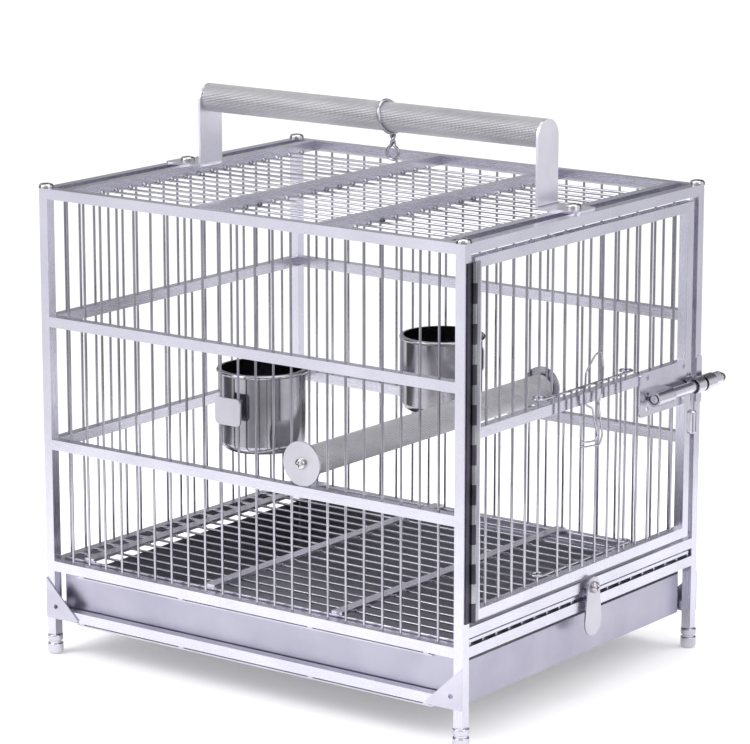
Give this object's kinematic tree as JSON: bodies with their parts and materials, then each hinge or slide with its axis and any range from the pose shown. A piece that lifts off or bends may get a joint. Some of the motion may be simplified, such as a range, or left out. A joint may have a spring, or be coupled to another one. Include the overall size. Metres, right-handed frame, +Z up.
{
  "type": "bird travel cage",
  "caption": "Stainless-steel wire travel cage with a tube carrying handle, a hinged bolted door, a lift-up feeder door, a perch, hanging cups and a sliding litter tray",
  "frame": {"origin": "On the surface the feet stand on, under the middle of the whole object's bounding box", "axes": "+Z up, the object's longest extent; +Y runs across the cage toward the bolt's tip, its shortest extent; +X runs along the cage toward the door"},
  "size_m": [0.5192, 0.4298, 0.5511],
  "materials": {
    "polished_steel": "bright polished stainless steel",
    "satin_steel": "satin stainless steel",
    "knurled_steel": "fine knurled stainless steel",
    "sheet_steel": "mill-finish stainless sheet"
  },
  "bodies": {
    "cage": {"back_wires": "polished_steel", "bolt_keeper": "satin_steel", "corner_screws": "polished_steel", "feet": "polished_steel", "floor_rail_back": "satin_steel", "floor_rail_door_end": "satin_steel", "floor_rail_front": "satin_steel", "floor_rail_left": "satin_steel", "front_wires": "polished_steel", "grate_bars": "satin_steel", "grate_ledges": "satin_steel", "grate_wires": "polished_steel", "gusset_plates": "satin_steel", "handle_bracket_left": "satin_steel", "handle_bracket_right": "satin_steel", "handle_grip": "knurled_steel", "handle_screws": "polished_steel", "hinge_leaf_post": "satin_steel", "hinge_pin": "polished_steel", "latch_screw": "polished_steel", "left_wires": "polished_steel", "middle_rails_back": "satin_steel", "middle_rails_front": "satin_steel", "middle_rails_left": "satin_steel", "perch": "knurled_steel", "perch_discs": "satin_steel", "perch_screws": "polished_steel", "post_back_left": "satin_steel", "post_back_right": "satin_steel", "post_front_left": "satin_steel", "post_front_right": "satin_steel", "roof_bars": "satin_steel", "roof_wires": "polished_steel", "sill_rail": "satin_steel", "top_rail_back": "satin_steel", "top_rail_door_end": "satin_steel", "top_rail_front": "satin_steel", "top_rail_left": "satin_steel", "tray_guides": "satin_steel", "tray_rail_back": "satin_steel", "tray_rail_front": "satin_steel", "tray_rail_left": "satin_steel"},
    "door": {"door_frame": "satin_steel", "door_middle_rail": "satin_steel", "door_wires": "polished_steel", "hinge_leaf_door": "satin_steel", "bolt_plate": "satin_steel"},
    "bolt": {"bolt_rod": "polished_steel", "bolt_tip": "polished_steel"},
    "bolt_pull": {"bolt_handle": "polished_steel"},
    "feeder": {"feeder_cross_wires": "polished_steel", "feeder_uprights": "polished_steel"},
    "clip": {"wire_clip": "polished_steel"},
    "tray": {"tray": "sheet_steel"},
    "latch": {"swing_latch": "satin_steel"},
    "hook": {"carry_hook": "polished_steel"},
    "cup_front": {"front_cup": "polished_steel", "front_cup_hanger": "polished_steel"},
    "cup_back": {"back_cup": "polished_steel", "back_cup_hanger": "polished_steel"}
  },
  "joints": [
    {"name": "door_swing", "type": "hinge", "parent": "cage", "child": "door", "pos_m": [0.24463, -0.19912, 0.282], "axis": [0, 0, -1], "range_deg": [0, 170]},
    {"name": "bolt_slide", "type": "slide", "parent": "door", "child": "bolt", "axis": [0, -1, 0], "range_m": [0, 0.038]},
    {"name": "bolt_turn", "type": "hinge", "parent": "bolt", "child": "bolt_pull", "pos_m": [0.25162, 0.15887, 0.271], "axis": [0, -1, 0], "range_deg": [0, 100]},
    {"name": "feeder_lift", "type": "slide", "parent": "door", "child": "feeder", "axis": [0, 0, 1], "range_m": [0, 0.135]},
    {"name": "clip_swing", "type": "hinge", "parent": "feeder", "child": "clip", "pos_m": [0.24613, -0.02363, 0.249], "axis": [0, 0, -1], "range_deg": [0, 50]},
    {"name": "tray_slide", "type": "slide", "parent": "cage", "child": "tray", "axis": [1, 0, 0], "range_m": [0, 0.44]},
    {"name": "latch_swing", "type": "hinge", "parent": "cage", "child": "latch", "pos_m": [0.24793, -0.00613, 0.107], "axis": [1, 0, 0], "range_deg": [-100, 100]},
    {"name": "hook_swing", "type": "hinge", "parent": "cage", "child": "hook", "pos_m": [0.01713, -0.01213, 0.534], "axis": [1, 0, 0], "range_deg": [-80, 80]},
    {"name": "front_cup_lift", "type": "slide", "parent": "cage", "child": "cup_front", "axis": [0, 0, 1], "range_m": [0, 0.03]},
    {"name": "back_cup_lift", "type": "slide", "parent": "cage", "child": "cup_back", "axis": [0, 0, 1], "range_m": [0, 0.03]}
  ]
}
